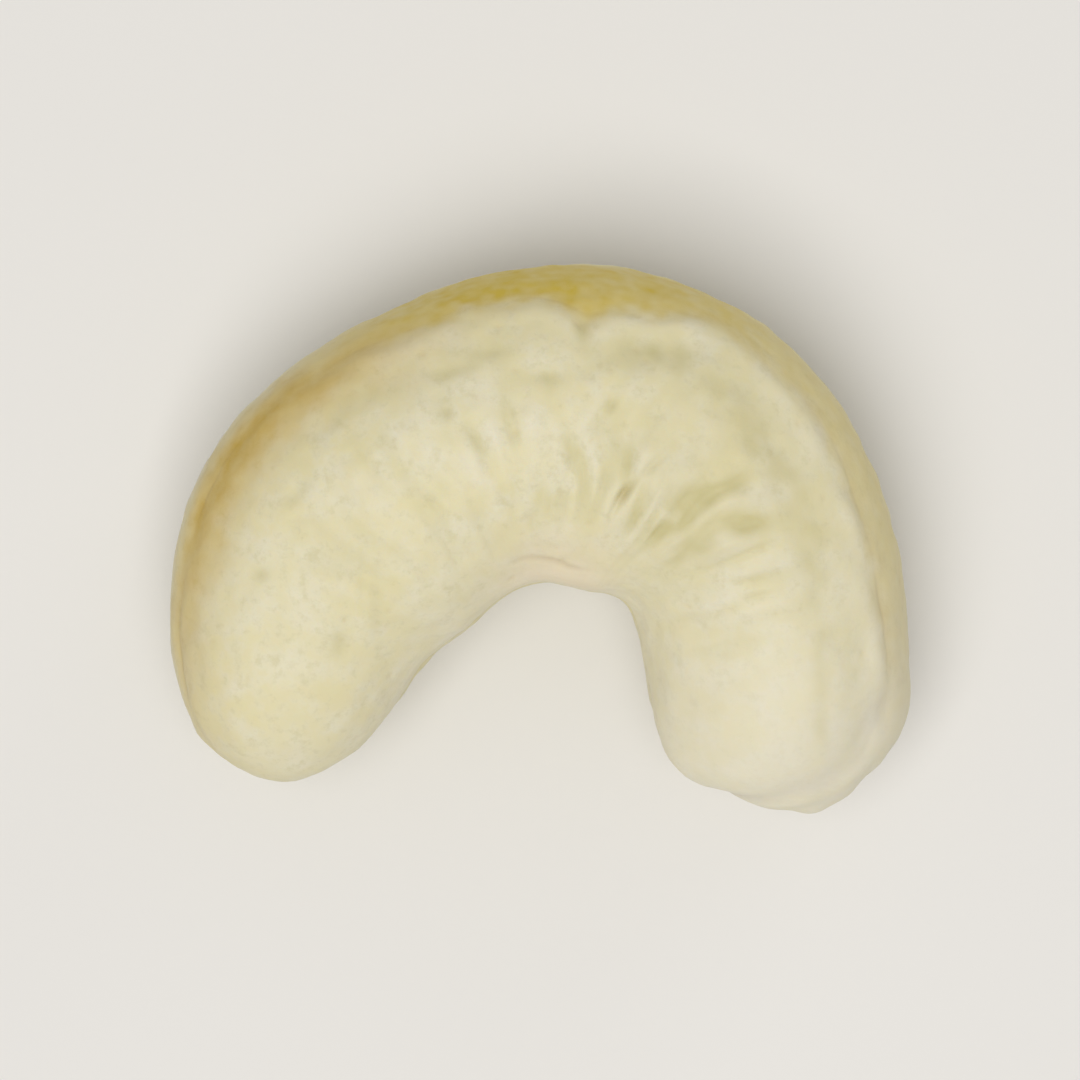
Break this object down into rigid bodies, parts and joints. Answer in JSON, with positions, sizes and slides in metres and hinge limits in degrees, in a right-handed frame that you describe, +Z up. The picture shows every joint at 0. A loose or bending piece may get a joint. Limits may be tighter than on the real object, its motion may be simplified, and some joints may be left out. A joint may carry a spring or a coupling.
{
  "type": "cashew nut",
  "caption": "Whole cashew kernel: a curved, blunt-ended nut lying on one cheek, with a seam round its edge and faint wrinkles.",
  "frame": {"origin": "middle of the bounding box's base, on the surface that the nut lies on", "axes": "+X from the left leg to the right leg, +Y from the legs' ends to the crown of the arch, +Z up from the cheek it lies on"},
  "size_m": [0.0246, 0.0182, 0.0108],
  "materials": {
    "kernel": "matte, slightly waxy cream ivory nut flesh"
  },
  "bodies": {
    "root": {"cashew_kernel": "kernel"}
  },
  "joints": []
}
